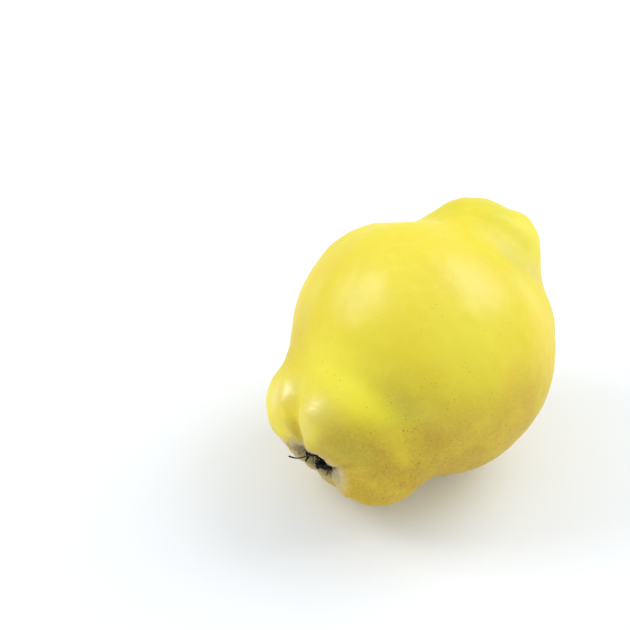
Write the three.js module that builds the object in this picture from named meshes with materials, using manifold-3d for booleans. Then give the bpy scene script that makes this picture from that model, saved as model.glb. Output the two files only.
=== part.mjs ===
// A ripe quince lying on its side, as picked, in millimetres with +Z up.
//
// The fruit is drawn in its own frame: +Y runs along its core from the calyx, where the flower was, to the
// stem, and an angle round the core is measured from +X towards +Z. The core is then bent a little, and the
// fruit is tilted and set down, so that its round belly and the lobed nub at the calyx end touch the
// surface.
import * as THREE from "three";
import { mergeVertices } from "three/addons/utils/BufferGeometryUtils.js";
import Module from "manifold-3d";

const wasm = await Module();
wasm.setup();

const { degToRad, smoothstep, lerp } = THREE.MathUtils;
const TURN = 2 * Math.PI;

// ---------- Driving dimensions ----------

// How the fruit lies: the stem end is raised by TILT, with the core's middle REST_HEIGHT above the surface.
const TILT = degToRad(23);
const REST_HEIGHT = 42.4;

// Half the fruit's outline as [radius, station along the core].
const BASIN_FLOOR = -41;
const CAVITY_FLOOR = 43;
const OUTLINE = [
  [0, BASIN_FLOOR],
  [3.8, -41.4],
  [6, -43.4],
  [7.6, -46.6],
  [9, -49.5], // crest of the nub
  [14.5, -48.4],
  [20, -46.4],
  [23.6, -41.8],
  [26.6, -36],
  [29.2, -31], // waist
  [33.6, -26],
  [38.6, -19.6],
  [41.9, -8],
  [42.8, 2], // belly
  [41.2, 11.6],
  [36.3, 20.6],
  [25.8, 31], // root of the neck
  [21.5, 38.2],
  [18.8, 44.6],
  [14.2, 49.6], // crest of the neck
  [8.8, 48.4],
  [6, 45],
  [3.6, 43.3],
  [0, CAVITY_FLOOR],
];
const OUTLINE_STEPS = 56;
const FRUIT_SIDES = 92;

// Swellings of the skin are rounded hills: their angle round the core and station along it, their height,
// and how far they reach along the core and around it. Angles are in degrees.
const SWELLINGS = [
  // Five lobes round the calyx
  { angle: 153, station: -37, height: 2.8, along: 8.5, around: 28 },
  { angle: 76, station: -45, height: 3.4, along: 6, around: 21 },
  { angle: -15, station: -45, height: 6, along: 9, around: 31 },
  { angle: -80, station: -41, height: 2, along: 7.5, around: 20 },
  { angle: -142, station: -35, height: 1.2, along: 8, around: 24 },
  // Their knuckles, with a dip between the two on top
  { angle: 52, station: -41, height: 2.3, along: 4.5, around: 20 },
  { angle: 31, station: -43, height: 1.5, along: 5.5, around: 20 },
  { angle: 122, station: -43.5, height: 0.9, along: 3, around: 12 },
  { angle: 94, station: -44.5, height: 1, along: 3, around: 13 },
  { angle: 109, station: -37, height: -0.7, along: 4, around: 16 },
  // The waist is hollow on two sides, with low ridges below it
  { angle: 164, station: -21.5, height: -3, along: 10.5, around: 41 },
  { angle: 61, station: -36.5, height: 2.8, along: 6, around: 32 },
  { angle: 84, station: -31, height: 1.6, along: 5.5, around: 27 },
  { angle: 46, station: -25.5, height: 1.7, along: 3.5, around: 26 },
  // Shoulders of the neck
  { angle: 82, station: 42.5, height: 2.3, along: 6.5, around: 38 },
  { angle: 38, station: 46.5, height: 4.6, along: 7.5, around: 30 },
  { angle: -43, station: 31, height: 6.6, along: 10, around: 50 },
  { angle: 205, station: 44, height: 2, along: 7, around: 30 },
];

// Creases are narrow valleys between the lobes and shoulders. Their angle leans by so many degrees per
// millimetre.
const CREASES = [
  { angle: 108, lean: 1.5, station: -45, depth: 2.3, along: 6, around: 6 },
  { angle: 68, lean: 0.4, station: -43, depth: 1.6, along: 4, around: 20 },
  { angle: -48, lean: 0.5, station: -48, depth: 1.6, along: 5, around: 9 },
  { angle: -108, lean: 0.8, station: -47, depth: 1.4, along: 6, around: 10 },
  { angle: 196, lean: 0.6, station: -48, depth: 1.6, along: 5, around: 9 },
  { angle: 150, lean: 0.5, station: 48, depth: 1.6, along: 5, around: 11 },
  { angle: 262, lean: -0.6, station: 48, depth: 1.8, along: 6, around: 12 },
  { angle: 335, lean: 0.4, station: 48, depth: 1.4, along: 5, around: 11 },
];

// Swellings and creases are whole outside the crest of a hollow, and die out towards its floor.
const HOLLOW_FLOOR_RADIUS = 5;
const HOLLOW_CREST_RADIUS = 14;

// The core leaves its straight line on both sides of the belly, by this much at BEND_LENGTH from the
// middle. Sections across it stay parallel.
const BEND_LENGTH = 50;
const CALYX_BEND = { x: -7.9, z: -1.3 };
const STEM_BEND = { x: -3.1, z: -1.4 };

// The calyx is a pad on the basin's floor that carries dried sepals and a tuft of dead stamens. The pad's
// outline is [radius, height above the floor].
const PAD_MIDDLE = 1.4;
const PAD_OUTLINE = [
  [0, 0.6],
  [2.6, 0.8],
  [3.3, PAD_MIDDLE],
  [2.6, 2.2],
  [1.2, 2.4],
  [0, 2.1],
];
const PAD_STEPS = 10;
const PAD_SIDES = 20;

// A sepal is a thin blade. It rolls by so many degrees on its way, narrows over that share of its length,
// and passes these places: [distance from the core's line, height above the basin's floor, angle].
const SEPALS = [
  {
    width: 3.4,
    roll: 70,
    narrowing: 0.6,
    places: [
      [2.2, PAD_MIDDLE, 94],
      [4.6, 4.5, 92],
      [5.4, 7.8, 90],
      [4.6, 9.6, 104],
      [4.3, 10.8, 124],
      [5.4, 11.8, 141],
      [6.9, 12.4, 142.5],
    ],
  },
  {
    width: 4.2,
    roll: -25,
    narrowing: 1,
    places: [
      [2.2, PAD_MIDDLE, 168],
      [3.9, 4.4, 168],
      [4.1, 6.8, 174],
      [3.5, 8.6, 186],
      [2.4, 10, 176],
    ],
  },
  {
    width: 4,
    roll: 30,
    narrowing: 1,
    places: [
      [2.2, PAD_MIDDLE, 28],
      [5, 4.2, 26],
      [5.4, 6.6, 16],
      [4.2, 8.4, 0],
      [2.4, 9, -30],
    ],
  },
  {
    width: 4.2,
    roll: -30,
    narrowing: 1,
    places: [
      [2.2, PAD_MIDDLE, -44],
      [4.7, 3.9, -44],
      [4.9, 6, -45],
      [4.2, 7.8, -56],
      [2.6, 8.8, -88],
    ],
  },
  {
    width: 3.6,
    roll: 25,
    narrowing: 1,
    places: [
      [2.2, PAD_MIDDLE, -112],
      [4.8, 4, -110],
      [5.2, 6.4, -106],
      [4.4, 8.4, -94],
      [3, 9.4, -66],
    ],
  },
];
const SEPAL_THICKNESS = 0.8;
const SEPAL_TIP_WIDTH = 0.2; // as a share of the sepal's width
const SEPAL_TAPER_START = 0.3; // as a share of its narrowing
const SEPAL_CUP = 0.35; // depth of the hollow across a sepal, as a share of half its width
const SEPAL_STEPS = 14;

const STAMEN_COUNT = 14;
const STAMEN_RADIUS = 0.42;
const STAMEN_LENGTH = 6;
const STAMEN_RING = 2.1;
const STAMEN_TWIST = 14; // degrees
const STAMEN_SIDES = 6;
const STAMEN_STEPS = 4;

// The stem is a short woody stub that ends in the thick scar where it left the twig: [radius, height].
const STEM_RADIUS = 2.2;
const STEM_OUTLINE = [
  [0, 0],
  [2.8, 0.1],
  [2.6, 1.6],
  [STEM_RADIUS, 4],
  [STEM_RADIUS, 6.6],
  [2.8, 8.4],
  [3.5, 9.6],
  [3.2, 10.7],
  [1.6, 11.1],
  [0, 10.7],
];
const STEM_STEPS = 27;
const STEM_SIDES = 20;
const STEM_LEAN = { x: -1.2, z: -2.2 }; // how far its end hangs over
const STEM_KNOB = { angle: 210, station: 9.6, height: 0.9, along: 2, around: 45 };

// Pieces that meet keep this much air between them.
const GAP = 0.3;

// ---------- Shapes ----------

// The angle between two directions, brought within half a turn.
function angleBetween(a, b) {
  return Math.atan2(Math.sin(a - b), Math.cos(a - b));
}

// A rounded hill of height 1, by how far off its top a point of the skin is along the core and round it.
function hill(alongOffset, along, aroundOffset, around) {
  return Math.exp(-((alongOffset / along) ** 2) - (aroundOffset / around) ** 2);
}

// How far the skin stands out of the turned outline at a station and an angle.
function relief(station, angle) {
  let height = 0;
  for (const s of SWELLINGS) {
    const aroundOffset = angleBetween(angle, degToRad(s.angle));
    height += s.height * hill(station - s.station, s.along, aroundOffset, degToRad(s.around));
  }
  for (const c of CREASES) {
    const alongOffset = station - c.station;
    const aroundOffset = angleBetween(angle, degToRad(c.angle + c.lean * alongOffset));
    height -= c.depth * hill(alongOffset, c.along, aroundOffset, degToRad(c.around));
  }
  return height;
}

// Moves a point drawn round the straight core to its place round the bent one.
function bendPoint(point) {
  const towardsCalyx = (Math.max(-point.y, 0) / BEND_LENGTH) ** 2;
  const towardsStem = (Math.max(point.y, 0) / BEND_LENGTH) ** 2;
  point.x += CALYX_BEND.x * towardsCalyx + STEM_BEND.x * towardsStem;
  point.z += CALYX_BEND.z * towardsCalyx + STEM_BEND.z * towardsStem;
}

// Lifts a point that would lie below the surface straight up to it, which leaves small flat spots on the
// fruit.
function pressFlat(point) {
  const height = REST_HEIGHT + point.y * Math.sin(TILT) + point.z * Math.cos(TILT);
  if (height < 0) {
    point.y -= height * Math.sin(TILT);
    point.z -= height * Math.cos(TILT);
  }
}

// Runs every vertex of a geometry through move(point, index), which changes the point in place.
function moveVertices(geometry, move) {
  const position = geometry.getAttribute("position");
  const point = new THREE.Vector3();
  for (let i = 0; i < position.count; i++) {
    point.fromBufferAttribute(position, i);
    move(point, i);
    position.setXYZ(i, point.x, point.y, point.z);
  }
  return geometry;
}

// A lathed outline whose skin then stands out by relief(station, angle, radius) along the outline's own
// normal.
function lathed(outline, steps, sides, skinRelief) {
  const curve = new THREE.SplineCurve(outline.map(([radius, station]) => new THREE.Vector2(radius, station)));
  const rows = curve.getPoints(steps);
  return moveVertices(new THREE.LatheGeometry(rows, sides), (point, i) => {
    const row = i % rows.length;
    const angle = TURN / 4 - (TURN * Math.floor(i / rows.length)) / sides;
    const { x: radius, y: station } = rows[row];
    const tangent = curve.getTangent(row / steps);
    const height = skinRelief(station, angle, radius);
    const distance = radius + height * tangent.y;
    point.set(distance * Math.cos(angle), station - height * tangent.x, distance * Math.sin(angle));
  });
}

// A geometry drawn along its own Z from 0 to 1, laid along a curve. Its X stays as near as it can to the
// direction round the core, and roll(t) turns it from there. section(x, y, t) gives the size across.
function swept(geometry, curve, section, roll = () => 0) {
  return moveVertices(geometry, (point) => {
    const t = point.z;
    const offset = section(point.x, point.y, t);
    const centre = curve.getPoint(t);
    const tangent = curve.getTangent(t);
    const outwards = new THREE.Vector3(centre.x, 0, centre.z).normalize();
    const side = new THREE.Vector3().crossVectors(tangent, outwards).normalize();
    side.applyAxisAngle(tangent, roll(t));
    const face = new THREE.Vector3().crossVectors(tangent, side);
    point.copy(centre).addScaledVector(side, offset.x).addScaledVector(face, offset.y);
  });
}

// A closed geometry as a manifold-3d solid, with its shared vertices merged.
function solidOf(geometry) {
  geometry.deleteAttribute("normal");
  geometry.deleteAttribute("uv");
  const merged = mergeVertices(geometry, 1e-4);
  const vertProperties = new Float32Array(merged.getAttribute("position").array);
  const triVerts = new Uint32Array(merged.index.array);
  return new wasm.Manifold(new wasm.Mesh({ numProp: 3, vertProperties, triVerts }));
}

// The outer skin of a joined solid, as one that is filled wherever the joined pieces seal a hollow between
// them.
function filled(solid) {
  return solid.decompose().reduce((largest, skin) => (skin.volume() > largest.volume() ? skin : largest));
}

// A manifold-3d solid as a three.js geometry.
function geometryOf(solid) {
  const mesh = solid.getMesh();
  const geometry = new THREE.BufferGeometry();
  geometry.setAttribute("position", new THREE.BufferAttribute(mesh.vertProperties, mesh.numProp));
  geometry.setIndex(new THREE.BufferAttribute(mesh.triVerts, 1));
  geometry.computeVertexNormals();
  return geometry;
}

// ---------- Fruit ----------

function fruitGeometry() {
  const skin = lathed(OUTLINE, OUTLINE_STEPS, FRUIT_SIDES, (station, angle, radius) => {
    return relief(station, angle) * smoothstep(radius, HOLLOW_FLOOR_RADIUS, HOLLOW_CREST_RADIUS);
  });
  return moveVertices(skin, (point) => {
    bendPoint(point);
    pressFlat(point);
  });
}

// ---------- Calyx ----------

// A place in the basin: distance from the core's line, height above the basin's floor, and angle in degrees.
function basinPoint(distance, rise, degrees) {
  const angle = degToRad(degrees);
  return new THREE.Vector3(distance * Math.cos(angle), BASIN_FLOOR - rise, distance * Math.sin(angle));
}

function padGeometry() {
  const pad = lathed(PAD_OUTLINE, PAD_STEPS, PAD_SIDES, () => 0);
  return pad.rotateX(TURN / 2).translate(0, BASIN_FLOOR, 0);
}

// A sepal is cupped across, and drawn out to a thin tip.
function sepalGeometry({ width, roll, narrowing, places }) {
  const curve = new THREE.CatmullRomCurve3(places.map((place) => basinPoint(...place)));
  const box = new THREE.BoxGeometry(2, 2, 1, 2, 1, SEPAL_STEPS).translate(0, 0, 0.5);
  const section = (x, y, t) => {
    const taper = smoothstep(t, SEPAL_TAPER_START * narrowing, narrowing);
    const half = (width / 2) * lerp(1, SEPAL_TIP_WIDTH, taper);
    const cup = SEPAL_CUP * half * (1 - x * x);
    return { x: half * x, y: cup + (SEPAL_THICKNESS / 2) * y };
  };
  return swept(box, curve, section, (t) => degToRad(roll) * t);
}

// A stamen is a bent thread with a blunt end. They stand in two rings and lean in to the middle by turns.
function stamenGeometry(index) {
  const degrees = (360 * index) / STAMEN_COUNT;
  const inner = index % 2;
  const root = STAMEN_RING * (inner ? 0.5 : 1);
  const tip = root * (inner ? 1.4 : 1.1);
  const rise = STAMEN_LENGTH * (inner ? 1 : 0.86);
  const curve = new THREE.CatmullRomCurve3([
    basinPoint(root, PAD_MIDDLE, degrees),
    basinPoint(root + 0.5, PAD_MIDDLE + 0.5 * rise, degrees + STAMEN_TWIST),
    basinPoint(tip, PAD_MIDDLE + rise, degrees + 2.2 * STAMEN_TWIST),
  ]);
  const thread = new THREE.CylinderGeometry(1, 1, 1, STAMEN_SIDES, STAMEN_STEPS);
  thread.rotateX(TURN / 4).translate(0, 0, 0.5);
  return swept(thread, curve, (x, y) => ({ x: STAMEN_RADIUS * x, y: STAMEN_RADIUS * y }));
}

function calyxGeometry() {
  const pieces = [padGeometry(), ...SEPALS.map(sepalGeometry)];
  for (let i = 0; i < STAMEN_COUNT; i++) {
    pieces.push(stamenGeometry(i));
  }
  const joined = pieces.map(solidOf).reduce((whole, piece) => whole.add(piece));
  return moveVertices(geometryOf(filled(joined)), bendPoint);
}

// ---------- Stem ----------

function stemGeometry() {
  const knobAngle = degToRad(STEM_KNOB.angle);
  const bark = lathed(STEM_OUTLINE, STEM_STEPS, STEM_SIDES, (station, angle, radius) => {
    const aroundOffset = angleBetween(angle, knobAngle);
    const knob = hill(station - STEM_KNOB.station, STEM_KNOB.along, aroundOffset, degToRad(STEM_KNOB.around));
    return STEM_KNOB.height * knob * smoothstep(radius, 0, STEM_RADIUS);
  });
  const top = STEM_OUTLINE[STEM_OUTLINE.length - 1][1];
  return moveVertices(bark, (point) => {
    const way = point.y / top;
    point.x += STEM_LEAN.x * way ** 2;
    point.z += STEM_LEAN.z * way ** 2;
    point.y += CAVITY_FLOOR + GAP;
    bendPoint(point);
  });
}

// ---------- The quince ----------

function piece(name, geometry, colour, roughness) {
  geometry.computeVertexNormals();
  const material = new THREE.MeshStandardMaterial({ color: colour, roughness, metalness: 0 });
  const mesh = new THREE.Mesh(geometry, material);
  mesh.name = name;
  return mesh;
}

const lyingFruit = new THREE.Group();
lyingFruit.rotation.x = TILT;
lyingFruit.position.z = REST_HEIGHT;
lyingFruit.add(piece("fruit", fruitGeometry(), 0xe9dd3e, 0.42));
lyingFruit.add(piece("calyx", calyxGeometry(), 0x2a231d, 0.9));
lyingFruit.add(piece("stem", stemGeometry(), 0x8a5a33, 0.8));

const quince = new THREE.Group();
quince.add(lyingFruit);

export default quince;
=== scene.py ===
import math

import bpy
import numpy as np
from mathutils import Matrix, Vector


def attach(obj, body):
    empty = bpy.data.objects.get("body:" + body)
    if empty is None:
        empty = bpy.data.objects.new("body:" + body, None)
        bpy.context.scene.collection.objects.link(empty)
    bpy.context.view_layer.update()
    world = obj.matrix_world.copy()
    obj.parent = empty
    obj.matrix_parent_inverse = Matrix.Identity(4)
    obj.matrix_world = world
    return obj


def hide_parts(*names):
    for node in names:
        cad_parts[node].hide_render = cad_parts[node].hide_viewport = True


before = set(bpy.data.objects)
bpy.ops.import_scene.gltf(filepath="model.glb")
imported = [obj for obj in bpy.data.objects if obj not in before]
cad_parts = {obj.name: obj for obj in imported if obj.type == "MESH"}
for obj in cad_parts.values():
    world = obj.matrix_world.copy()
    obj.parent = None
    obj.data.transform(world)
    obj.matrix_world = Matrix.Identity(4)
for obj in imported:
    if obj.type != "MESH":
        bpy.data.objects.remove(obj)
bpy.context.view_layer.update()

# A ripe quince lying on its side. The fruit is drawn in its own frame, in millimetres, as the solids are: +Y
# runs along its core from the calyx to the stem, and an angle round the core is measured in degrees from +X
# towards +Z. A station is a place along the core. The core is then bent a little, and the fruit is tilted and
# set down.

TURN = 2 * math.pi
MM = 0.001

# ---------- The solids' own dimensions ----------

TILT = math.radians(23)
REST_HEIGHT = 42.4
BASIN_FLOOR = -41
CAVITY_FLOOR = 43

# Half the fruit's outline as (radius, station along the core).
OUTLINE = [
    (0, BASIN_FLOOR), (3.8, -41.4), (6, -43.4), (7.6, -46.6), (9, -49.5), (14.5, -48.4), (20, -46.4),
    (23.6, -41.8), (26.6, -36), (29.2, -31), (33.6, -26), (38.6, -19.6), (41.9, -8), (42.8, 2), (41.2, 11.6),
    (36.3, 20.6), (25.8, 31), (21.5, 38.2), (18.8, 44.6), (14.2, 49.6), (8.8, 48.4), (6, 45), (3.6, 43.3),
    (0, CAVITY_FLOOR),
]

# Swellings of the skin: (angle, station, height, reach along the core, reach round it in degrees).
SWELLINGS = [
    (153, -37, 2.8, 8.5, 28), (76, -45, 3.4, 6, 21), (-15, -45, 6, 9, 31), (-80, -41, 2, 7.5, 20),
    (-142, -35, 1.2, 8, 24),  # five lobes round the calyx
    (52, -41, 2.3, 4.5, 20), (31, -43, 1.5, 5.5, 20), (122, -43.5, 0.9, 3, 12), (94, -44.5, 1, 3, 13),
    (109, -37, -0.7, 4, 16),  # their knuckles, with a dip between the two on top
    (164, -21.5, -3, 10.5, 41), (61, -36.5, 2.8, 6, 32), (84, -31, 1.6, 5.5, 27),
    (46, -25.5, 1.7, 3.5, 26),  # waist
    (82, 42.5, 2.3, 6.5, 38), (38, 46.5, 4.6, 7.5, 30), (-43, 31, 6.6, 10, 50), (205, 44, 2, 7, 30),  # neck
]

# Creases between them: (angle, lean in degrees per millimetre, station, depth, reach along, reach round).
CREASES = [
    (108, 1.5, -45, 2.3, 6, 6), (68, 0.4, -43, 1.6, 4, 20), (-48, 0.5, -48, 1.6, 5, 9),
    (-108, 0.8, -47, 1.4, 6, 10), (196, 0.6, -48, 1.6, 5, 9), (150, 0.5, 48, 1.6, 5, 11),
    (262, -0.6, 48, 1.8, 6, 12), (335, 0.4, 48, 1.4, 5, 11),
]
CALYX_CREASES = CREASES[:5]
# The relief fades out from the crest round each hollow to the hollow's floor.
HOLLOW_FLOOR_RADIUS = 5
HOLLOW_CREST_RADIUS = 14
BEND_LENGTH = 50
CALYX_BEND = (-7.9, -1.3)
STEM_BEND = (-3.1, -1.4)

# The calyx: (radius, height above the basin's floor) of its pad, and its sepals.
PAD_MIDDLE = 1.4
PAD_OUTLINE = [(0, 0.6), (2.6, 0.8), (3.3, PAD_MIDDLE), (2.6, 2.2), (1.2, 2.4), (0, 2.1)]
# A sepal: its width, how far it rolls in degrees, the share of its length over which it narrows, and the
# places that it passes as (distance from the core's line, height above the basin's floor, angle).
SEPALS = [
    (3.4, 70, 0.6, [
        (2.2, 1.4, 94), (4.6, 4.5, 92), (5.4, 7.8, 90), (4.6, 9.6, 104), (4.3, 10.8, 124), (5.4, 11.8, 141),
        (6.9, 12.4, 142.5),
    ]),
    (4.2, -25, 1, [(2.2, 1.4, 168), (3.9, 4.4, 168), (4.1, 6.8, 174), (3.5, 8.6, 186), (2.4, 10, 176)]),
    (4, 30, 1, [(2.2, 1.4, 28), (5, 4.2, 26), (5.4, 6.6, 16), (4.2, 8.4, 0), (2.4, 9, -30)]),
    (4.2, -30, 1, [(2.2, 1.4, -44), (4.7, 3.9, -44), (4.9, 6, -45), (4.2, 7.8, -56), (2.6, 8.8, -88)]),
    (3.6, 25, 1, [(2.2, 1.4, -112), (4.8, 4, -110), (5.2, 6.4, -106), (4.4, 8.4, -94), (3, 9.4, -66)]),
]
SEPAL_TIP_WIDTH = 0.16
SEPAL_TAPER_START = 0.3
SEPAL_CUP = 0.35
STAMEN_COUNT = 14
STAMEN_LENGTH = 6
STAMEN_RING = 2.1
STAMEN_TWIST = 14

# The stem: (radius, height), how far its end hangs over, and the knob on its side.
STEM_OUTLINE = [
    (0, 0), (2.8, 0.1), (2.6, 1.6), (2.2, 4), (2.2, 6.6), (2.8, 8.4), (3.5, 9.6), (3.2, 10.7), (1.6, 11.1),
    (0, 10.7),
]
STEM_LEAN = (-1.2, -2.2)
STEM_KNOB = (210, 9.6, 0.9, 2, 45)
GAP = 0.3

# ---------- Fine forms that only the scene has ----------

# Narrow folds within the creases and round both hollows, as CREASES.
FOLDS = [
    (110, 1.7, -47.5, 0.9, 3.6, 2.6), (66, 0, -47, 0.5, 3, 4), (-48, 0.5, -48, 0.7, 4, 3),
    (-108, 0.8, -47.5, 0.6, 4, 3), (196, 0.6, -48, 0.7, 4, 3), (31, 1, -48.3, 0.7, 3.4, 3),
    (150, 0.5, 48, 0.6, 4, 3), (262, -0.6, 48, 0.7, 5, 3), (335, 0.4, 48, 0.5, 4, 3),
    (102, 1.2, 30, 0.35, 3.5, 2.2), (20, -1, 35.5, 0.4, 4.5, 2.4), (232, 1, 44, 0.5, 5, 3),
    (227, 0, -48.5, 1.0, 3, 9), (2, 0, -49.4, 0.5, 0.3, 15),
]
# Radial puckers of the skin round both hollows: waves on a circle of that radius.
PUCKER_HEIGHT = 0.35
PUCKER_WAVELENGTH = 3.2
PUCKER_CIRCLE = 6
# Unevenness of the whole skin: (wavelength, height, seed). Each is a sum of WAVE_COUNT waves.
DIMPLES = [(22, 0.3, 11), (7, 0.06, 12), (2.6, 0.02, 13)]
WAVE_COUNT = 14
# Shreds that stand out of the tuft: (thickness, how pale, places as a sepal's).
SHREDS = [
    (0.13, 1, [(3, 5, 80), (5.4, 8, 78), (1.9, 8.6, 105), (0.7, 9.2, 236)]),
    (0.12, 1, [(3.4, 6, 60), (6.1, 9, 56), (2.6, 9.3, 51), (1.8, 9.3, 232)]),
    (0.16, 0.4, [(4, 6.4, -50), (5, 7.6, -51), (7.2, 8, -74), (8.4, 8.4, -78)]),
    (1, 0, [(2, 5, 250), (1.8, 7.5, 262), (3.6, 7.5, 306), (4.9, 7, 322)]),
    (0.8, 0, [(2.6, 4, 112), (4.3, 8.2, 113), (2.2, 7.8, 102)]),
    (1.2, 0, [(3, 4.5, 98), (4.5, 7.6, 116), (4.5, 8, 98), (3.6, 7.6, 84)]),
]
# A sepal's half thickness at its root and tip, and the heights of its ragged edge, its ribs and its wrinkles.
SEPAL_THICKNESS = (0.3, 0.2)
SEPAL_RAGGEDNESS = 0.25
SEPAL_RIBS = 0.24
SEPAL_WRINKLES = 0.18
# Radii of a stamen's stalk at its root and tip, and of what its anther adds.
STALK_RADII = (0.3, 0.18)
ANTHER_RADIUS = 0.28
# Heights of the stem's bark, of the rings round it and of the scar on its end.
BARK_HEIGHT = 0.09
STEM_RING_HEIGHT = 0.07
SCAR_HEIGHT = 0.16
# A hair of the down. Its middle and tip are (outwards, along the skin), as shares of its length.
HAIR_RADIUS = 0.035
HAIR_ROOT_DEPTH = 0.1
HAIR_MIDDLE = (0.45, 0.25)
HAIR_TIP = (0.6, 0.75)
HAIR_LENGTHS = (0.6, 1.3)  # the shortest and the longest, as shares of the usual length
TRIES_PER_HAIR = 40

# ---------- Where the skin's colours, and its painted light and shade, lie ---

# Soft patches, as SWELLINGS, with a strength in place of the height. A negative one takes away.
PATCHES = {
    # Ochre is partly the skin's deeper tint and partly painted shade, deeper on the shaded lower lobes and in
    # a crease. Its negative rows are painted light on the lit ridge.
    "ochre_and_painted_shade": [
        (20, -32, 0.65, 16, 50), (-12, -46, 0.8, 9, 50), (48, -46, 0.5, 6, 22), (9, -3, 0.5, 14, 20),
        (136, -24, 0.35, 9, 16), (145, -46, -0.7, 9, 40), (100, -46, -0.4, 6, 14),
        (56, -33.5, -0.6, 4.5, 27), (58, -40, -0.3, 3, 26), (18, -38.5, -0.8, 3, 14),
        (8, -45.5, 0.3, 3, 14), (114, -48.4, 0.8, 1.4, 8), (77, -46.8, -0.4, 2, 7),
    ],
    # Olive is painted shade, in the valley below the knuckles, along the waist and in a crease.
    "olive_painted_shade": [
        (48, -45.5, 0.7, 3.5, 24), (54, -41, 0.3, 3, 28), (52, -28, 0.35, 3.5, 24),
        (114, -48.4, 0.4, 1.4, 7),
    ],
    "green": [
        (60, 40, 0.12, 12, 60), (200, 42, 0.35, 9, 90), (55, -29, 0.3, 7, 35), (55, 45, 0.35, 4, 28),
        (42, 35, 0.2, 5, 22),
    ],
    # Pale is painted light: on the lit ridge and lobe faces at the calyx end, on the belly and on the neck.
    "pale_painted_light": [
        (88, -30, 0.8, 8, 26), (60, -33, 0.4, 5, 28), (46, -6, 0.7, 13, 22), (150, -43, 0.5, 8, 26),
        (38, 41, 0.9, 6, 24),
    ],
    # Warm is partly the skin's orange tint and partly painted warm reflected light along the fruit's edges.
    "warm_tint_and_painted_bounce": [
        (5, 18, 0.5, 12, 22), (-12, -13, 0.5, 12, 14), (-14, -47, 0.6, 5, 26), (10, -5, 0.5, 11, 18),
        (128, -47, 0.4, 6, 22), (130, -2, 0.3, 14, 14), (180, -20, 0.3, 14, 40), (-100, 10, 0.3, 18, 40),
    ],
    "gloss": [(124, -40.5, 1, 5, 16), (87, -42.5, 1, 5, 16), (80, 2, 0.45, 24, 50)],
    "specks": [
        (15, -33, 0.5, 16, 60), (-5, -46, 0.4, 7, 30), (60, -45, -0.5, 6, 20), (150, -44, -0.5, 8, 30),
    ],
    # These bloom rows are painted highlights and sheen in the bloom's pale colour, on the belly's highlights,
    # the knuckles and the neck. The bloom on the basin's rim is real.
    "bloom_and_painted_highlight": [
        (55, 41, 0.1, 8, 50), (38, 41, 0.12, 5, 18), (12, 37, 0.45, 2.5, 14), (45, 34, 0.25, 4, 22),
        (60, 10, 0.14, 9, 14), (100, -12, 0.12, 6, 8), (124, -40.5, 0.2, 4, 8), (88, -42.5, 0.12, 4, 8),
    ],
    "scuffs": [(205, 6, 0.9, 3, 9), (222, 12, 0.8, 5, 3), (-62, 14, 0.8, 2.5, 7), (172, -4, 0.6, 1.6, 4)],
}
# The bloom on the basin's rim at its +X side, and the grey fold that crosses the rim there.
RIM_BLOOM = [(24, -49, 0.9, 3.4, 18), (-2, -49, 0.6, 3, 14)]
RIM_FOLD = [(2, -49.4, 0.5, 0.3, 15)]

# ---------- Grids ----------

FRUIT_ROWS = 340
FRUIT_SIDES = 288
# Where the fruit's rows lie closer together: (station, how much, reach along the core).
ROW_CROWDING = [(-47, 1.5, 9), (48, 0.6, 6)]
SEPAL_ROWS = 90
SEPAL_SIDES = 36
STAMEN_ROWS = 24
STAMEN_SIDES = 10
SHRED_ROWS = 60
SHRED_SIDES = 14
PAD_ROWS = 38
PAD_SIDES = 60
STEM_ROWS = 200
STEM_SIDES = 120

# ---------- Seeds of what is random, besides DIMPLES' own ----------

PUCKER_SEED = 21
RUSSET_SEED = 31
SEPAL_SEED = 40
SEPAL_SEED_STEP = 5
CALYX_SEED = 5
BARK_SEED = 61
SCAR_SEED = 62
CALYX_DOWN_SEED = 71
STEM_DOWN_SEED = 72

# ---------- Studio ----------

# Azimuth 0 is in front of the calyx, and 90 to its right. The softboxes face a place given in millimetres,
# from a distance in metres: (name, azimuth, elevation, width in metres, height in metres, radiance).
LIGHTS_AIM = (0, 0, 42)
LIGHTS_DISTANCE = 1.1
SOFTBOXES = [("left_softbox", -62, 43, 0.46, 0.54, 4.5), ("right_softbox", 152, 46, 0.78, 0.78, 2.8)]
WORLD_COLOUR = (0.98, 0.99, 1.0, 1.0)
WORLD_STRENGTH = 0.68
FLOOR_REACH = 12  # half of the floor's side, in metres
# The camera looks past the core's middle, which it sees to the right of the picture's centre and below it.
# Its distance and its place to the right and upwards are in millimetres.
VIEW_AZIMUTH = 37
VIEW_ELEVATION = 38
VIEW_DISTANCE = 557.4
VIEW_ASIDE = (-33.57, 10.07)
LENS = 100
SENSOR_WIDTH = 36

# ---------- Shape helpers ----------


def smoothstep(value, low, high):
    """0 below low, 1 above high, and a smooth rise between them."""
    share = np.clip((value - low) / (high - low), 0, 1)
    return share * share * (3 - 2 * share)


def lerp(a, b, share):
    return a + (b - a) * share


def angle_between(a, b):
    """The angle between two directions, brought within half a turn."""
    return np.arctan2(np.sin(a - b), np.cos(a - b))


def hills(rows, station, angle):
    """The sum of rounded hills, given as (angle, station, height, along, around)."""
    total = 0
    for at, middle, height, along, around in rows:
        offset = angle_between(angle, math.radians(at)) / math.radians(around)
        total = total + height * np.exp(-(((station - middle) / along) ** 2) - offset**2)
    return total


def valleys(rows, station, angle):
    """The sum of narrow valleys, given as (angle, lean, station, depth, along, around)."""
    total = 0
    for at, lean, middle, depth, along, around in rows:
        offset = angle_between(angle, np.radians(at + lean * (station - middle))) / math.radians(around)
        total = total + depth * np.exp(-(((station - middle) / along) ** 2) - offset**2)
    return total


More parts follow.
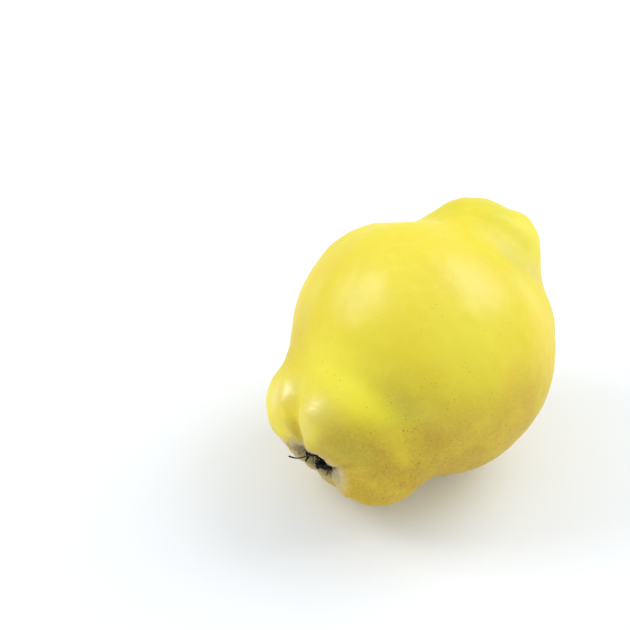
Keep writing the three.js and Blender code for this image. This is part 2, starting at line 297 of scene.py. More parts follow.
def waves(points, wavelength, seed):
    """Smooth random unevenness of about that wavelength, mostly between -1 and 1."""
    random = np.random.default_rng(seed)
    directions = random.normal(size=(WAVE_COUNT, 3))
    directions /= np.linalg.norm(directions, axis=1)[:, None]
    rates = directions * random.uniform(0.7, 1.4, (WAVE_COUNT, 1)) * (TURN / wavelength)
    return np.sin(points @ rates.T + random.uniform(0, TURN, WAVE_COUNT)).sum(-1) / 4


def spline(knots, share):
    """Points and unit tangents of the smooth curve through 2-D knots, at shares of it from 0 to 1."""
    knots = np.array(knots, float)
    last = len(knots) - 1
    place = share * last
    index = np.minimum(place.astype(int), last - 1)
    t = (place - index)[:, None]
    before, start, end = knots[np.maximum(index - 1, 0)], knots[index], knots[index + 1]
    after = knots[np.minimum(index + 2, last)]
    into, out = (end - before) / 2, (after - start) / 2
    cubic, square = 2 * (start - end) + into + out, 3 * (end - start) - 2 * into - out
    points = ((cubic * t + square) * t + into) * t + start
    slopes = (3 * cubic * t + 2 * square) * t + into
    return points, slopes / np.linalg.norm(slopes, axis=1)[:, None]


def shares_by_length(knots, count, weight):
    """Shares of a spline that are evenly spaced along it, closer together where weight(point) is large."""
    fine = np.linspace(0, 1, 6001)
    points, _ = spline(knots, fine)
    steps = np.linalg.norm(np.diff(points, axis=0), axis=1) * weight((points[1:] + points[:-1]) / 2)
    length = np.concatenate([[0], np.cumsum(steps)])
    return np.interp(np.linspace(0, length[-1], count), length, fine)


def turned(knots, share, angles, relief):
    """A grid of points of a turned outline whose skin stands out by relief(station, angle, radius)."""
    points, tangents = spline(knots, share)
    radius, station = points[:, :1], points[:, 1:]
    height = relief(station, angles, radius)
    distance = radius + height * tangents[:, 1:]
    along = station - height * tangents[:, :1]
    return np.stack([distance * np.cos(angles), along, distance * np.sin(angles)], axis=-1)


def bent(points):
    """Points drawn round the straight core, moved to their places round the bent one."""
    to_calyx = (np.maximum(-points[..., 1], 0) / BEND_LENGTH) ** 2
    to_stem = (np.maximum(points[..., 1], 0) / BEND_LENGTH) ** 2
    moved = points.copy()
    moved[..., 0] += CALYX_BEND[0] * to_calyx + STEM_BEND[0] * to_stem
    moved[..., 2] += CALYX_BEND[1] * to_calyx + STEM_BEND[1] * to_stem
    return moved


def pressed_flat(points):
    """Points that would lie below the floor, lifted straight up to it."""
    up = np.array([0, math.sin(TILT), math.cos(TILT)])
    height = REST_HEIGHT + points @ up
    return points - np.minimum(height, 0)[..., None] * up


def placed(points):
    """Points of the fruit's own frame in the row frame, in metres."""
    x, y, z = points[..., 0], points[..., 1], points[..., 2]
    level = y * math.cos(TILT) - z * math.sin(TILT)
    return np.stack([x, level, y * math.sin(TILT) + z * math.cos(TILT) + REST_HEIGHT], axis=-1) * MM


def mesh_piece(name, vertices, faces, material, fields=None):
    """A smooth-shaded mesh in the row frame, with fields as attributes of its vertices."""
    mesh = bpy.data.meshes.new(name)
    mesh.from_pydata(np.asarray(vertices).tolist(), [], faces)
    for field, values in (fields or {}).items():
        attribute = mesh.attributes.new(field, "FLOAT", "POINT")
        attribute.data.foreach_set("value", np.asarray(values, np.float32).ravel())
    mesh.polygons.foreach_set("use_smooth", [True] * len(mesh.polygons))
    mesh.validate()
    mesh.materials.append(material)
    piece = bpy.data.objects.new(name, mesh)
    bpy.context.scene.collection.objects.link(piece)
    return piece


def closed_grid(points, start=0):
    """Vertices and faces of a tube given as rings of points, each end closed by a fan round its middle."""
    rings, sides, _ = points.shape
    index = np.arange(rings * sides).reshape(rings, sides) + start
    after = np.roll(index, -1, axis=1)
    quads = np.stack([index[:-1], index[1:], after[1:], after[:-1]], axis=-1).reshape(-1, 4).tolist()
    low, high = start + rings * sides, start + rings * sides + 1
    fans = [[low, a, b] for a, b in zip(index[0].tolist(), after[0].tolist())]
    fans += [[high, b, a] for a, b in zip(index[-1].tolist(), after[-1].tolist())]
    ends = [points[0].mean(0), points[-1].mean(0)]
    return np.concatenate([points.reshape(-1, 3), ends]), quads + fans


def with_ends(grid):
    """A grid of values in the vertex order of closed_grid."""
    return np.concatenate([grid.ravel(), [grid[0].mean(), grid[-1].mean()]])


# ---------- Materials ----------


def linear(value):
    """A display value from 0 to 255 as linear light from 0 to 1."""
    return value / 255 / 12.92 if value < 11 else ((value / 255 + 0.055) / 1.055) ** 2.4


def rgb(red, green, blue):
    return linear(red), linear(green), linear(blue)


class Shader:
    """A material made node by node. Each call adds a node and returns its output."""

    def __init__(self, name):
        self.material = bpy.data.materials.new(name)
        self.material.use_nodes = True
        self.tree = self.material.node_tree
        self.place = self.add("ShaderNodeTexCoord", {}, "Object")

    def add(self, kind, inputs, output=0, **settings):
        node = self.tree.nodes.new(kind)
        for name, value in settings.items():
            setattr(node, name, value)
        self.fill(node, inputs)
        return node.outputs[output]

    def fill(self, node, inputs):
        """Sets inputs by name or number. Outputs are linked, and a colour of three numbers gets its alpha."""
        for name, value in inputs.items():
            socket = node.inputs[name]
            if isinstance(value, bpy.types.NodeSocket):
                self.tree.links.new(value, socket)
            else:
                socket.default_value = (*value, 1.0) if socket.type == "RGBA" else value

    def field(self, name):
        return self.add("ShaderNodeAttribute", {}, "Fac", attribute_name=name)

    def math(self, operation, *values):
        return self.add("ShaderNodeMath", dict(enumerate(values)), operation=operation)

    def noise(self, size, detail=2.0, roughness=0.5, distortion=0.0, place=None):
        """Noise between 0 and 1, whose features are about size millimetres across."""
        inputs = {"Vector": place or self.place, "Scale": 1 / (size * MM), "Detail": detail}
        return self.add("ShaderNodeTexNoise", {**inputs, "Roughness": roughness, "Distortion": distortion})

    def step(self, value, low, high, top=1.0):
        """A smooth step from 0 to top, as value goes from low to high."""
        inputs = {"Value": value, "From Min": low, "From Max": high, "To Max": top}
        return self.add("ShaderNodeMapRange", inputs, interpolation_type="SMOOTHSTEP")

    def mix(self, share, a, b):
        """Colour a turned to colour b by a share."""
        return self.add("ShaderNodeMix", {0: share, 6: a, 7: b}, 2, data_type="RGBA")

    def specks(self, spacing, radius, presence):
        """Round dots of up to about that radius, one in a cell of that spacing, in millimetres. presence is
        the share of the cells that have one."""
        cells = {"Vector": self.place, "Scale": 1 / (spacing * MM)}
        distance = self.add("ShaderNodeTexVoronoi", cells, "Distance")
        chance = self.add("ShaderNodeSeparateColor", {0: self.add("ShaderNodeTexVoronoi", cells, "Color")})
        size = self.math("MULTIPLY_ADD", chance, 0.6 * radius / spacing, 0.5 * radius / spacing)
        edge = self.math("SUBTRACT", size, distance)
        dot = self.step(edge, -0.25 * radius / spacing, 0.25 * radius / spacing)
        return self.math("MULTIPLY", dot, self.step(self.math("SUBTRACT", presence, chance), 0.0, 0.05))

    def bump(self, height, distance, normal=None):
        """Bump of a height between 0 and 1, which stands for distance in millimetres."""
        inputs = {"Height": height, "Distance": distance * MM}
        return self.add("ShaderNodeBump", inputs if normal is None else {**inputs, "Normal": normal})

    def finish(self, inputs):
        self.fill(self.tree.nodes["Principled BSDF"], inputs)
        return self.material


def skin_material():
    s = Shader("Quince_Skin")
    patches = s.step(s.noise(30, 2), 0.36, 0.64)
    mottle = s.noise(3.5, 4, 0.6)
    grain = s.step(s.noise(1.1, 3, 0.7), 0.3, 0.7)
    colour = s.mix(patches, rgb(242, 225, 34), rgb(238, 219, 24))
    colour = s.mix(s.step(mottle, 0.45, 0.8, 0.35), colour, rgb(247, 236, 92))
    green = s.math("MULTIPLY", s.field("green"), s.step(s.noise(9, 3), 0.2, 0.7))
    colour = s.mix(green, colour, rgb(186, 200, 44))
    # Painted light: paler where the skin is lit
    colour = s.mix(s.field("pale_painted_light"), colour, rgb(255, 244, 60))
    # Warm orange tint, partly painted reflected light on the edges
    warm_tint_and_painted_bounce = s.math("MULTIPLY", s.field("warm_tint_and_painted_bounce"), s.step(s.noise(8, 4, 0.6), 0.3, 0.65))
    colour = s.mix(warm_tint_and_painted_bounce, colour, rgb(252, 204, 34))
    # Ochre, partly the skin's deeper tint and partly painted shade
    uneven = s.math("MULTIPLY_ADD", s.step(s.noise(9, 4, 0.6), 0.3, 0.6), 0.3, 0.7)
    ochre_and_painted_shade = s.math("MULTIPLY", s.field("ochre_and_painted_shade"), uneven)
    colour = s.mix(ochre_and_painted_shade, colour, s.mix(grain, rgb(196, 160, 22), rgb(211, 178, 28)))
    # Painted shade, in olive
    colour = s.mix(s.field("olive_painted_shade"), colour, s.mix(grain, rgb(180, 160, 22), rgb(194, 176, 30)))
    # Fine stippling, then larger specks
    stipple = s.math("MULTIPLY", s.specks(1.0, 0.25, s.field("specks")), s.step(s.noise(6, 3), 0.35, 0.6))
    colour = s.mix(s.math("MULTIPLY", stipple, 0.7), colour, rgb(136, 92, 30))
    dots = s.specks(4.6, 0.28, s.math("MULTIPLY", s.field("specks"), 0.35))
    colour = s.mix(s.math("MULTIPLY", dots, 0.85), colour, rgb(92, 58, 26))
    # Down that has not rubbed off, whose pale colour also makes painted highlights, the grey basin with
    # painted shade in its depths, and russet round the stem
    felt = s.step(s.noise(1.1, 3, 0.65), 0.3, 0.7)
    bloom_and_painted_highlight = s.math("MULTIPLY", s.field("bloom_and_painted_highlight"), s.math("MULTIPLY_ADD", felt, 0.4, 0.6))
    colour = s.mix(bloom_and_painted_highlight, colour, rgb(222, 202, 152))
    colour = s.mix(s.field("basin"), colour, s.mix(felt, rgb(142, 134, 92), rgb(196, 188, 146)))
    # Painted shade in the basin's depths
    colour = s.mix(s.field("painted_shade_depths"), colour, s.mix(felt, rgb(70, 62, 42), rgb(112, 100, 70)))
    rust = s.math("MULTIPLY", s.field("russet"), s.step(s.noise(2.4, 5, 0.65), 0.3, 0.6))
    colour = s.mix(rust, colour, s.mix(felt, rgb(122, 72, 28), rgb(176, 112, 44)))
    colour = s.mix(s.field("cavity"), colour, s.mix(felt, rgb(84, 60, 30), rgb(140, 116, 64)))
    scuffs = s.math("MULTIPLY", s.field("scuffs"), s.step(s.noise(1.6, 5, 0.7, 0.5), 0.52, 0.62))
    colour = s.mix(scuffs, colour, s.mix(felt, rgb(126, 84, 36), rgb(176, 128, 60)))
    smooth = s.math("MULTIPLY_ADD", s.field("gloss"), -0.12, 0.48)
    roughness = s.math("ADD", s.step(mottle, 0.3, 0.8, 0.08), smooth)
    worn = s.math("MAXIMUM", s.field("basin"), s.math("MAXIMUM", rust, scuffs))
    dull = s.math("MAXIMUM", s.field("bloom_and_painted_highlight"), worn)
    roughness = s.math("MAXIMUM", roughness, s.math("MULTIPLY", dull, 0.8))
    pores = s.bump(s.noise(0.9, 3, 0.6), 0.02)
    pores = s.bump(s.math("ADD", stipple, dots), -0.05, pores)
    pores = s.bump(s.math("MULTIPLY", felt, dull), 0.15, pores)
    return s.finish({
        "Base Color": colour,
        "Roughness": roughness,
        "Normal": pores,
        "IOR": 1.5,
        "Specular IOR Level": 0.5,
        "Coat Weight": s.field("gloss"),
        "Coat Roughness": 0.4,
        "Coat IOR": 1.9,
        "Subsurface Weight": 0.12,
        "Subsurface Radius": (1.0, 0.65, 0.15),
        "Subsurface Scale": 3 * MM,
    })


def sepal_material():
    s = Shader("Dried_Sepals")
    wrinkles = s.noise(0.9, 4, 0.65, 0.6)
    colour = s.mix(s.step(wrinkles, 0.35, 0.7), rgb(4, 4, 3), rgb(20, 18, 14))
    fuzz = s.math("MAXIMUM", s.math("MULTIPLY", s.field("edge"), 0.4), s.field("felt"))
    fuzz = s.math("MULTIPLY", fuzz, s.step(s.noise(0.7, 3, 0.6), 0.42, 0.68))
    colour = s.mix(fuzz, colour, rgb(118, 108, 86))
    return s.finish({
        "Base Color": colour,
        "Roughness": s.math("MULTIPLY_ADD", wrinkles, 0.3, 0.6),
        "Specular IOR Level": 0.25,
        "Normal": s.bump(wrinkles, 0.2),
    })


def bark_material():
    s = Shader("Stem_Bark")
    along_core = {"Vector": s.place, "Rotation": (-TILT, 0, 0), "Scale": (1, 0.22, 1)}
    stretched = s.add("ShaderNodeMapping", along_core)
    grain = s.noise(0.8, 5, 0.65, 0.3, stretched)
    blotches = s.noise(2.6, 3)
    colour = s.mix(s.step(grain, 0.35, 0.7), rgb(112, 56, 24), rgb(204, 122, 56))
    colour = s.mix(s.step(blotches, 0.5, 0.75, 0.5), colour, rgb(138, 112, 78))
    scar = s.mix(s.step(s.noise(0.9, 4, 0.6), 0.35, 0.7), rgb(104, 80, 58), rgb(148, 122, 90))
    colour = s.mix(s.field("scar"), colour, scar)
    lenticels = s.specks(1.6, 0.22, 0.5)
    colour = s.mix(s.math("MULTIPLY", lenticels, 0.6), colour, rgb(196, 164, 120))
    return s.finish({
        "Base Color": colour,
        "Roughness": s.math("MULTIPLY_ADD", grain, 0.25, 0.6),
        "Normal": s.bump(lenticels, 0.08, s.bump(grain, 0.25)),
    })


def down_material():
    s = Shader("Down")
    colour = s.mix(s.noise(1.5, 2), rgb(248, 240, 216), rgb(222, 204, 164))
    return s.finish({"Base Color": colour, "Roughness": 0.7, "Sheen Weight": 0.3})


def floor_material():
    s = Shader("Pale_Floor")
    colour = s.mix(s.noise(60, 3), rgb(236, 239, 243), rgb(239, 242, 246))
    return s.finish({
        "Base Color": colour,
        "Roughness": 0.6,
        "Specular IOR Level": 0.2,
        "Emission Color": (0.8, 0.9, 1.0),
        "Emission Strength": 0.12,
    })


# ---------- Fruit ----------


def hollow_fade(radius):
    return smoothstep(radius, HOLLOW_FLOOR_RADIUS, HOLLOW_CREST_RADIUS)


def skin_relief(station, angle, radius):
    """How far the skin stands out of the turned outline, apart from the dimples."""
    height = hills(SWELLINGS, station, angle) - valleys(CREASES, station, angle)
    fine = valleys(FOLDS, station, angle)
    near_hollow = smoothstep(np.abs(station), 40, 48) * smoothstep(radius, 4, 8)
    near_hollow = near_hollow * (1 - smoothstep(radius, 13, 18))
    ring = np.stack(np.broadcast_arrays(np.cos(angle), np.sin(angle), 0.1 * np.sign(station)), axis=-1)
    puckers = PUCKER_HEIGHT * waves(PUCKER_CIRCLE * ring, PUCKER_WAVELENGTH, PUCKER_SEED) * near_hollow
    return height * hollow_fade(radius) + (puckers - fine) * smoothstep(radius, 4, 9)


def make_fruit():
    def weight(points):
        station = points[:, 1]
        return 1 + sum(much * np.exp(-(((station - at) / reach) ** 2)) for at, much, reach in ROW_CROWDING)

    share = shares_by_length(OUTLINE, FRUIT_ROWS + 2, weight)[1:-1]
    angles = np.arange(FRUIT_SIDES) * TURN / FRUIT_SIDES
    outline, _ = spline(OUTLINE, share)
    radius, station = outline[:, :1], outline[:, 1:]
    points = bent(turned(OUTLINE, share, angles, skin_relief))
    across = points - np.roll(points, 1, axis=1)
    along = np.gradient(points, axis=0)
    normals = np.cross(along, across)
    normals /= np.linalg.norm(normals, axis=-1)[..., None] + 1e-9
    uneven = sum(height * waves(points, wavelength, seed) for wavelength, height, seed in DIMPLES)
    points = pressed_flat(points + normals * (uneven * hollow_fade(radius))[..., None])
    vertices, faces = closed_grid(placed(points))
    fields = {name: with_ends(grid) for name, grid in skin_fields(radius, station, angles, points).items()}
    return mesh_piece("quince_fruit", vertices, faces, skin_material(), fields)


def skin_fields(radius, station, angle, points):
    """The masks that the skin's material reads, each between 0 and 1."""
    up = points @ np.array([0, math.sin(TILT), math.cos(TILT)])
    fields = {name: hills(rows, station, angle) + np.zeros_like(up) for name, rows in PATCHES.items()}
    calyx_end = smoothstep(-station, 38, 44)
    stem_end = smoothstep(station, 38, 44)
    # Painted shade: the ochre deepens towards the bottom, away from the lights. The specks are also more
    # towards the bottom.
    low = 1 - smoothstep(up, -30, 20)
    fields["ochre_and_painted_shade"] += 0.85 * low
    fields["specks"] += 0.1 + 0.6 * low
    fields["green"] += 0.5 * stem_end * np.exp(-(((radius - 9) / 3.5) ** 2))

    # Bloom is left on the basin's rim, most in the creases
    rim = calyx_end * (0.7 * np.exp(-(((radius - 9.8) / 2.6) ** 2)) + np.exp(-((radius - 9) ** 2)))
    in_crease = [(at, lean, middle, 1, 6, 5) for at, lean, middle, *_ in CALYX_CREASES]
    fields["bloom_and_painted_highlight"] += rim * (0.35 + 0.5 * np.clip(valleys(in_crease, station, angle), 0, 1))
    crest = smoothstep(radius, 6, 9) * (1 - smoothstep(radius, 11, 16))
    fields["bloom_and_painted_highlight"] += hills(RIM_BLOOM, station, angle) * crest

    # The grey basin, reaching further out at one side as painted shade, with painted shade in its depths and
    # in a notch of its rim
    mouth = 9.5 + 4 * np.exp(-((angle_between(angle, 0.42) / 0.3) ** 2))
    fields["basin"] = calyx_end * (1 - smoothstep(radius, 6.5, mouth)) + hills(RIM_FOLD, station, angle)
    notch = np.exp(-((angle_between(angle, 0.48) / 0.18) ** 2) - ((radius - 9.8) / 1.3) ** 2)
    fields["painted_shade_depths"] = calyx_end * (1 - smoothstep(radius, 4.5, 7.5) + notch)

    # Russet spreads out of the stem's cavity in streaks, mostly on one side
    ring = np.stack([np.cos(angle), np.sin(angle), 0 * angle], axis=-1)
    streaks = 0.5 + 0.5 * waves(5 * ring, 3.2, RUSSET_SEED)
    reach = 7 + 9 * np.clip(streaks, 0, 1.2) * np.exp(-((angle_between(angle, 3.8) / 1.3) ** 2))
    fields["russet"] = stem_end * (1 - smoothstep(radius, 0.5 * reach, 1.1 * reach))
    fields["cavity"] = stem_end * (1 - smoothstep(radius, 3.5, 7.5))
    return {name: np.clip(np.broadcast_to(grid, up.shape), 0, 1) for name, grid in fields.items()}


# ---------- Swept pieces ----------


def curve_through(knots, share):
    """Points and unit tangents of the centripetal curve through 3-D knots."""
    knots = np.array(knots, float)
    knots = np.concatenate([[2 * knots[0] - knots[1]], knots, [2 * knots[-1] - knots[-2]]])
    last = len(knots) - 3
    index = np.minimum((share * last).astype(int), last - 1)
    t = (share * last - index)[:, None]
    p0, p1, p2, p3 = (knots[index + k] for k in range(4))
    pairs = ((p0, p1), (p1, p2), (p2, p3))
    gap0, gap1, gap2 = (np.sqrt(np.linalg.norm(b - a, axis=1))[:, None] for a, b in pairs)
    into = ((p1 - p0) / gap0 - (p2 - p0) / (gap0 + gap1) + (p2 - p1) / gap1) * gap1
    out = ((p2 - p1) / gap1 - (p3 - p1) / (gap1 + gap2) + (p3 - p2) / gap2) * gap1
    cubic, square = 2 * (p1 - p2) + into + out, 3 * (p2 - p1) - 2 * into - out
    points = ((cubic * t + square) * t + into) * t + p1
    slopes = (3 * cubic * t + 2 * square) * t + into
    return points, slopes / np.linalg.norm(slopes, axis=1)[:, None]


def swept(knots, share, section, roll=0.0):
    """Rings of points along a curve. section gives each ring's points as (sideways, outwards). The rings
    turn by roll degrees from root to tip."""
    centres, tangents = curve_through(knots, share)
    outwards = centres * (1, 0, 1)
    sides = np.cross(tangents, outwards)
    sides /= np.linalg.norm(sides, axis=1)[:, None]
    faces = np.cross(tangents, sides)
    turn = math.radians(roll) * share[:, None]
    sides, faces = sides * np.cos(turn) + faces * np.sin(turn), faces * np.cos(turn) - sides * np.sin(turn)
    return centres[:, None] + section[..., :1] * sides[:, None] + section[..., 1:] * faces[:, None]


def ring_angles(sides):
    """Angles round a swept tube, in the direction that turns its faces outwards."""
    return -np.arange(sides) * TURN / sides


def basin_point(distance, rise, degrees):
    """A place in the basin: distance from the core's line, height above the basin's floor, and angle."""
    angle = math.radians(degrees)
    return distance * math.cos(angle), BASIN_FLOOR - rise, distance * math.sin(angle)


class Bundle:
    """Closed tubes gathered into one mesh."""

    def __init__(self):
        self.vertices, self.faces, self.count = [], [], 0
        self.fields = {"edge": [], "felt": []}

    def add(self, rings, edge=0.3, felt=0.0):
        vertices, faces = closed_grid(rings, self.count)
        self.vertices.append(vertices)
        self.faces += faces
        self.fields["edge"].append(with_ends(np.broadcast_to(edge, rings.shape[:2])))
        self.fields["felt"].append(with_ends(np.broadcast_to(felt, rings.shape[:2])))
        self.count += len(vertices)


# ---------- Calyx ----------


def sepal_rings(sepal, seed):
    """A dried blade: cupped, wrinkled along its length, ragged at its edges, and drawn out to a thin tip."""
    width, roll, narrowing, places = sepal
    share = np.linspace(0, 1, SEPAL_ROWS)
    turn = ring_angles(SEPAL_SIDES)
    across, through = np.cos(turn), np.sin(turn)
    taper = smoothstep(share, SEPAL_TAPER_START * narrowing, narrowing)
    half = width / 2 * lerp(0.55, 1, smoothstep(share, 0, 0.25)) * lerp(1, SEPAL_TIP_WIDTH, taper)
    place = np.stack(np.broadcast_arrays(share[:, None] * 8, across * 1.5, 0 * across), axis=-1)
    edges = np.abs(across) ** 6 * smoothstep(half, 0.3, 1.2)[:, None]
    either_edge = place * (1, 0, 0) + (0, 3, 0) * np.sign(across)[:, None]
    ragged = 1 + SEPAL_RAGGEDNESS * waves(either_edge, 0.6, seed) * edges
    x = half[:, None] * across * ragged
    thickness = lerp(*SEPAL_THICKNESS, taper)[:, None]
    cup = SEPAL_CUP * half[:, None] * (1 - across**2)
    ribs = SEPAL_RIBS * waves(place * (0.35, 2.2, 0), 1.1, seed + 1)
    wrinkles = SEPAL_WRINKLES * waves(place, 1.3, seed + 2)
    y = cup + thickness * through + (ribs + wrinkles) * smoothstep(half, 0.3, 1.4)[:, None]
    felt = smoothstep(through, -0.2, 0.5) * (1 - 0.7 * taper[:, None])
    rings = swept([basin_point(*p) for p in places], share, np.stack([x, y], axis=-1), roll)
    return rings, np.abs(across) ** 6, felt


def stamen_rings(index, random):
    """A dead stamen: a thin kinked stalk that ends in a thicker anther. Every second one stands nearer the
    middle."""
    degrees = 360 * index / STAMEN_COUNT
    inner = index % 2
    root = STAMEN_RING * (0.5 if inner else 1)
    tip = root * (1.4 if inner else 1.1)
    rise = STAMEN_LENGTH * (1 if inner else 0.86)
    knots = [
        basin_point(root, PAD_MIDDLE, degrees),
        basin_point(root + 0.5, PAD_MIDDLE + 0.5 * rise, degrees + STAMEN_TWIST),
        basin_point(tip, PAD_MIDDLE + rise, degrees + 2.2 * STAMEN_TWIST),
    ]
    share = np.linspace(0, 1, STAMEN_ROWS)
    turn = ring_angles(STAMEN_SIDES)
    anther = ANTHER_RADIUS * np.exp(-(((share - 0.93) / 0.06) ** 2))
    kinks = 1 + 0.18 * np.sin(share * random.uniform(14, 26) + random.uniform(0, TURN))
    radius = (lerp(*STALK_RADII, share) * kinks + anther)[:, None]
    return swept(knots, share, np.stack([radius * np.cos(turn), radius * np.sin(turn)], axis=-1))


def shred_rings(thickness, places, random):
    """A crumpled thread."""
    share = np.linspace(0, 1, SHRED_ROWS)
    turn, length = ring_angles(SHRED_SIDES), share[:, None]
    kinks = 1 + 0.25 * np.sin(length * random.uniform(20, 40) + 2 * turn)
    kinks = kinks + 0.15 * np.sin(length * 57 + 3 * turn)
    radius = thickness * kinks * (1 - 0.5 * length**3)
    section = np.stack([radius * np.cos(turn), radius * np.sin(turn)], axis=-1)
    return swept([basin_point(*p) for p in places], share, section)


def pad_rings():
    """The pad under the sepals and stamens, with low ribs round it."""

    def ribs(height, angle, radius):
        return 0.12 * np.sin(7 * angle) * (radius > 1)

    share = np.linspace(0, 1, PAD_ROWS + 2)[1:-1]
    angles = np.arange(PAD_SIDES) * TURN / PAD_SIDES
    return turned(PAD_OUTLINE, share, angles, ribs) * (1, -1, -1) + (0, BASIN_FLOOR, 0)


def make_calyx():
    random = np.random.default_rng(CALYX_SEED)
    bundle = Bundle()
    bundle.add(pad_rings())
    for index, sepal in enumerate(SEPALS):
        bundle.add(*sepal_rings(sepal, SEPAL_SEED + SEPAL_SEED_STEP * index))
    for index in range(STAMEN_COUNT):
        bundle.add(stamen_rings(index, random))
    for thickness, felt, places in SHREDS:
        bundle.add(shred_rings(thickness, places, random), felt, felt)
    vertices = placed(bent(np.concatenate(bundle.vertices)))
    fields = {name: np.concatenate(values) for name, values in bundle.fields.items()}
    return mesh_piece("dried_calyx", vertices, bundle.faces, sepal_material(), fields)


# ---------- Stem ----------


def make_stem():
    share = np.linspace(0, 1, STEM_ROWS + 2)[1:-1]
    angles = np.arange(STEM_SIDES) * TURN / STEM_SIDES
    top = STEM_OUTLINE[-1][1]

    def relief(rise, angle, radius):
        knob = hills([STEM_KNOB], rise, angle) * smoothstep(radius, 0, 2.2)
        ridges = np.stack(np.broadcast_arrays(np.cos(angle) * 3, np.sin(angle) * 3, 0.12 * rise), axis=-1)
        bark = BARK_HEIGHT * waves(ridges, 0.9, BARK_SEED) * smoothstep(radius, 0.8, 2)
        rings = STEM_RING_HEIGHT * np.sin(rise * 5.2 + np.cos(angle)) * np.exp(-(((rise - 7.8) / 1.4) ** 2))
        lumps = np.stack(np.broadcast_arrays(radius * np.cos(angle), radius * np.sin(angle), rise), axis=-1)
        scar = SCAR_HEIGHT * waves(lumps, 1.1, SCAR_SEED) * smoothstep(rise, 9.4, 10.6)
        return knob + bark + rings + scar

    points = turned(STEM_OUTLINE, share, angles, relief)
    lean = (points[..., 1:2] / top) ** 2 * (STEM_LEAN[0], 0, STEM_LEAN[1])
    points = bent(points + lean + (0, CAVITY_FLOOR + GAP, 0))
    vertices, faces = closed_grid(placed(points))
    rise = spline(STEM_OUTLINE, share)[0][:, 1:]
    scar = with_ends(smoothstep(np.broadcast_to(rise, points.shape[:2]), 9.6, 10.8))
    return mesh_piece("woody_stub", vertices, faces, bark_material(), {"scar": scar})


# ---------- Down ----------


def make_down(name, seed, count, length, density):
    """Fine hairs of the fruit's own skin: thin bent cones, rooted just under it. density(radius, station,
    angle) gives the chance of a hair."""
    random = np.random.default_rng(seed)
    tries = TRIES_PER_HAIR * count
    share = random.uniform(0, 1, tries)
    angle = random.uniform(0, TURN, tries)
    outline, _ = spline(OUTLINE, share)
    keep = random.uniform(0, 1, tries) < density(outline[:, 0], outline[:, 1], angle)
    share, angle = share[keep][:count, None], angle[keep][:count, None]

    def skin(share, angle):
        points, tangents = spline(OUTLINE, share.ravel())
        radius, station = points[:, :1], points[:, 1:]
        height = skin_relief(station, angle, radius)
        distance, along = radius + height * tangents[:, 1:], station - height * tangents[:, :1]
        return bent(np.concatenate([distance * np.cos(angle), along, distance * np.sin(angle)], axis=1))

    roots = skin(share, angle)
    normals = np.cross(skin(share + 1e-4, angle) - roots, skin(share, angle + 1e-4) - roots)
    normals /= np.linalg.norm(normals, axis=1)[:, None] + 1e-12
    lean = random.normal(size=roots.shape)
    lean -= (lean * normals).sum(1)[:, None] * normals
    lean /= np.linalg.norm(lean, axis=1)[:, None]
    reach = length * random.uniform(*HAIR_LENGTHS, (len(roots), 1))
    middle = roots + reach * (HAIR_MIDDLE[0] * normals + HAIR_MIDDLE[1] * lean)
    tip = roots + reach * (HAIR_TIP[0] * normals + HAIR_TIP[1] * lean)
    side = np.cross(lean, normals)
    thirds = [k * TURN / 3 for k in range(3)]
    corners = [HAIR_RADIUS * (math.cos(turn) * side + math.sin(turn) * lean) for turn in thirds]
    low = [roots - HAIR_ROOT_DEPTH * normals + corner for corner in corners]
    high = [middle + 0.7 * corner for corner in corners]
    vertices = placed(np.stack([*low, *high, tip], axis=1).reshape(-1, 3))
    hair = [(2, 1, 0), (0, 1, 4, 3), (1, 2, 5, 4), (2, 0, 3, 5), (3, 4, 6), (4, 5, 6), (5, 3, 6)]
    faces = [tuple(7 * k + i for i in face) for k in range(len(roots)) for face in hair]
    return mesh_piece(name, vertices, faces, down_material())


def calyx_down(radius, station, angle):
    """The rim of the basin, most of all in its creases."""
    rim = np.exp(-(((radius - 9.5) / 3) ** 2))
    in_crease = [(at, lean, middle, 1, 5, 6) for at, lean, middle, *_ in CALYX_CREASES]
    return (station < -41.5) * rim * (0.5 + 0.5 * np.clip(valleys(in_crease, station, angle), 0, 1))


def stem_down(radius, station, angle):
    """The cavity round the stem, in tufts."""
    tufts = 0.6 + 0.25 * np.sin(3 * angle + 1) + 0.15 * np.sin(7 * angle)
    return (station > 42) * np.exp(-(((radius - 6) / 3) ** 2)) * tufts


# ---------- Lights, floor and camera ----------


def direction(azimuth, elevation):
    """The direction towards a place round the fruit."""
    a, e = math.radians(azimuth), math.radians(elevation)
    return Vector((math.sin(a) * math.cos(e), -math.cos(a) * math.cos(e), math.sin(e)))


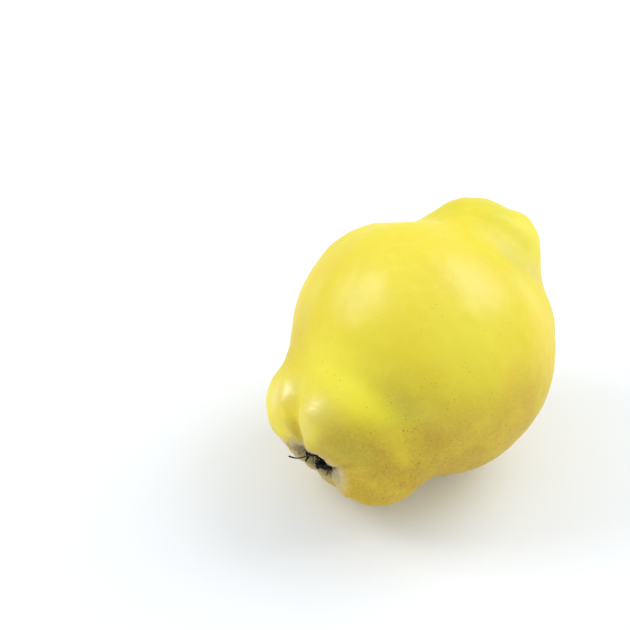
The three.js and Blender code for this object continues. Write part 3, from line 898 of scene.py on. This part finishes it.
def make_softbox(name, azimuth, elevation, width, height, radiance):
    """A soft white rectangular light of even brightness that faces the fruit."""
    light = bpy.data.lights.new(name, "AREA")
    light.shape = "RECTANGLE"
    light.size, light.size_y = width, height
    light.energy = radiance * math.pi * width * height
    box = bpy.data.objects.new(name, light)
    towards = direction(azimuth, elevation)
    box.location = Vector(LIGHTS_AIM) * MM + towards * LIGHTS_DISTANCE
    box.rotation_mode = "QUATERNION"
    box.rotation_quaternion = towards.to_track_quat("Z", "Y")
    bpy.context.scene.collection.objects.link(box)


def make_floor():
    corners = [(x * FLOOR_REACH, y * FLOOR_REACH, 0) for x, y in ((-1, -1), (1, -1), (1, 1), (-1, 1))]
    floor = mesh_piece("pale_floor", corners, [(0, 1, 2, 3)], floor_material())


def make_world():
    """Even studio light from all sides."""
    world = bpy.data.worlds.new("Studio")
    bpy.context.scene.world = world
    world.use_nodes = True
    glow = world.node_tree.nodes["Background"]
    glow.inputs["Color"].default_value = WORLD_COLOUR
    glow.inputs["Strength"].default_value = WORLD_STRENGTH


def make_camera():
    back = direction(VIEW_AZIMUTH, VIEW_ELEVATION)
    right = Vector((0, 0, 1)).cross(back).normalized()
    up = back.cross(right)
    middle = Vector((0, 0, REST_HEIGHT))
    camera = bpy.data.objects.new("Camera", bpy.data.cameras.new("Camera"))
    camera.data.lens = LENS
    camera.data.sensor_width = SENSOR_WIDTH
    turn = Matrix((right, up, back)).transposed().to_4x4()
    place = middle + VIEW_DISTANCE * back + VIEW_ASIDE[0] * right + VIEW_ASIDE[1] * up
    camera.matrix_world = Matrix.Translation(place * MM) @ turn
    bpy.context.scene.collection.objects.link(camera)
    bpy.context.scene.camera = camera


make_camera()
make_world()
make_floor()
for softbox in SOFTBOXES:
    make_softbox(*softbox)
bpy.context.scene.view_settings.view_transform = "Standard"

fruit = make_fruit()
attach(fruit, "root")
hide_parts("fruit")

calyx = make_calyx()
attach(calyx, "root")
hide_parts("calyx")

stem = make_stem()
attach(stem, "root")
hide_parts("stem")

# Each down: its name, its seed, how many hairs, their length, and where they grow.
for name, seed, count, length, density in (
    ("calyx_down", CALYX_DOWN_SEED, 9000, 0.7, calyx_down),
    ("stem_down", STEM_DOWN_SEED, 3200, 1.6, stem_down),
):
    down = make_down(name, seed, count, length, density)
    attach(down, "root")
